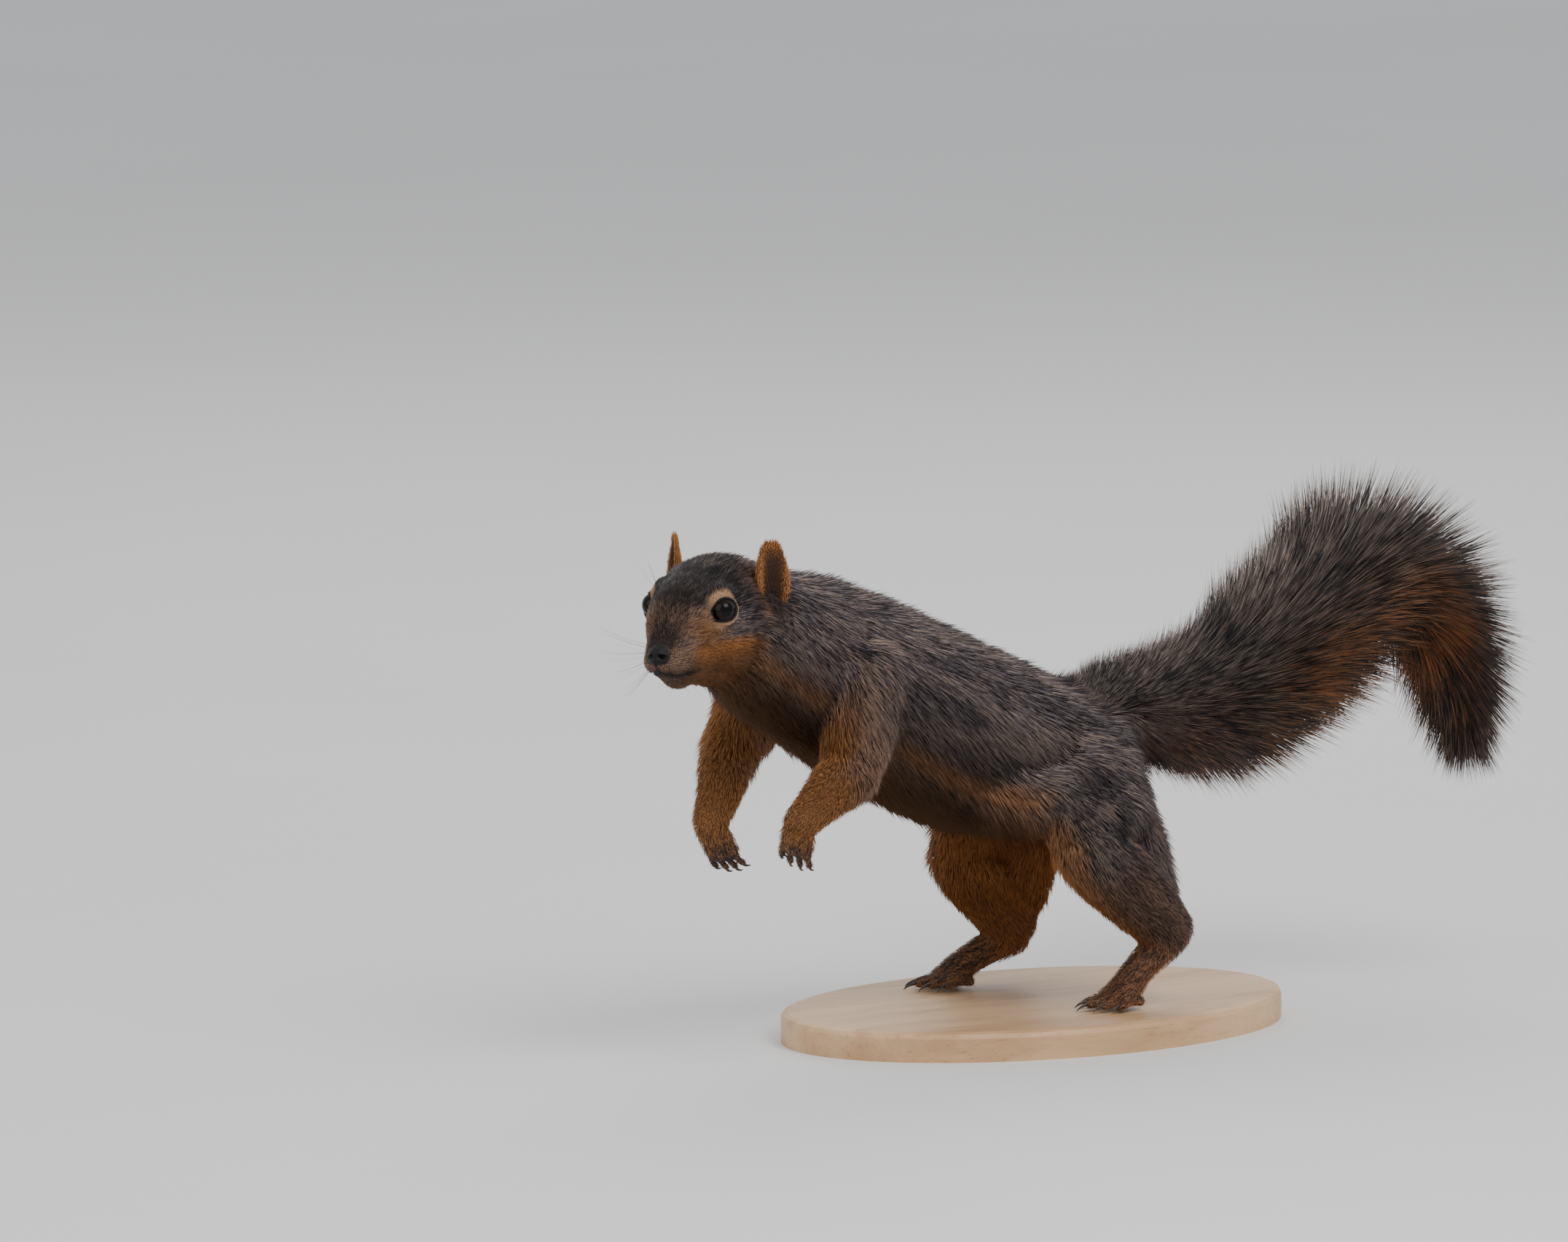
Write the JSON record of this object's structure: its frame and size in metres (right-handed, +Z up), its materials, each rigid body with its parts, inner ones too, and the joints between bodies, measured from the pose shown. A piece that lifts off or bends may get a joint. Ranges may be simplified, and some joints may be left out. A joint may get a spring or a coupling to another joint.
{
  "type": "squirrel model",
  "caption": "Life-size still model of a bushy-tailed tree squirrel pushing off its hind feet, forelegs hanging and tail arched behind, on a plain oval wooden base.",
  "frame": {"origin": "centre of the bounding box at the underside of the base", "axes": "the pelvis faces -Y, the animal's left side is at +X, +Z is up"},
  "size_m": [0.14, 0.4274, 0.214],
  "materials": {
    "coat_grizzled": "grizzled fur",
    "coat_rufous": "rufous fur",
    "coat_tail": "long dark fur with tawny tips",
    "ear_skin": "thin skin with short hair",
    "paw": "short-haired skin",
    "nose_leather": "moist bare skin",
    "eye_gloss": "wet gloss",
    "base_wood": "satin"
  },
  "bodies": {
    "root": {"head": "coat_grizzled", "muzzle": "coat_grizzled", "neck": "coat_grizzled", "chest": "coat_grizzled", "loin": "coat_grizzled", "pelvis": "coat_grizzled", "left_thigh": "coat_grizzled", "right_thigh": "coat_grizzled", "left_upper_arm": "coat_grizzled", "right_upper_arm": "coat_grizzled", "lower_jaw": "coat_rufous", "left_forearm": "coat_rufous", "right_forearm": "coat_rufous", "left_shank": "coat_rufous", "right_shank": "coat_rufous", "tail_base": "coat_tail", "tail_middle": "coat_tail", "tail_arch": "coat_tail", "tail_tip": "coat_tail", "left_ear": "ear_skin", "right_ear": "ear_skin", "left_hand": "paw", "right_hand": "paw", "left_hind_foot": "paw", "right_hind_foot": "paw", "nose": "nose_leather", "left_eye": "eye_gloss", "right_eye": "eye_gloss", "stand_base": "base_wood"}
  },
  "joints": []
}
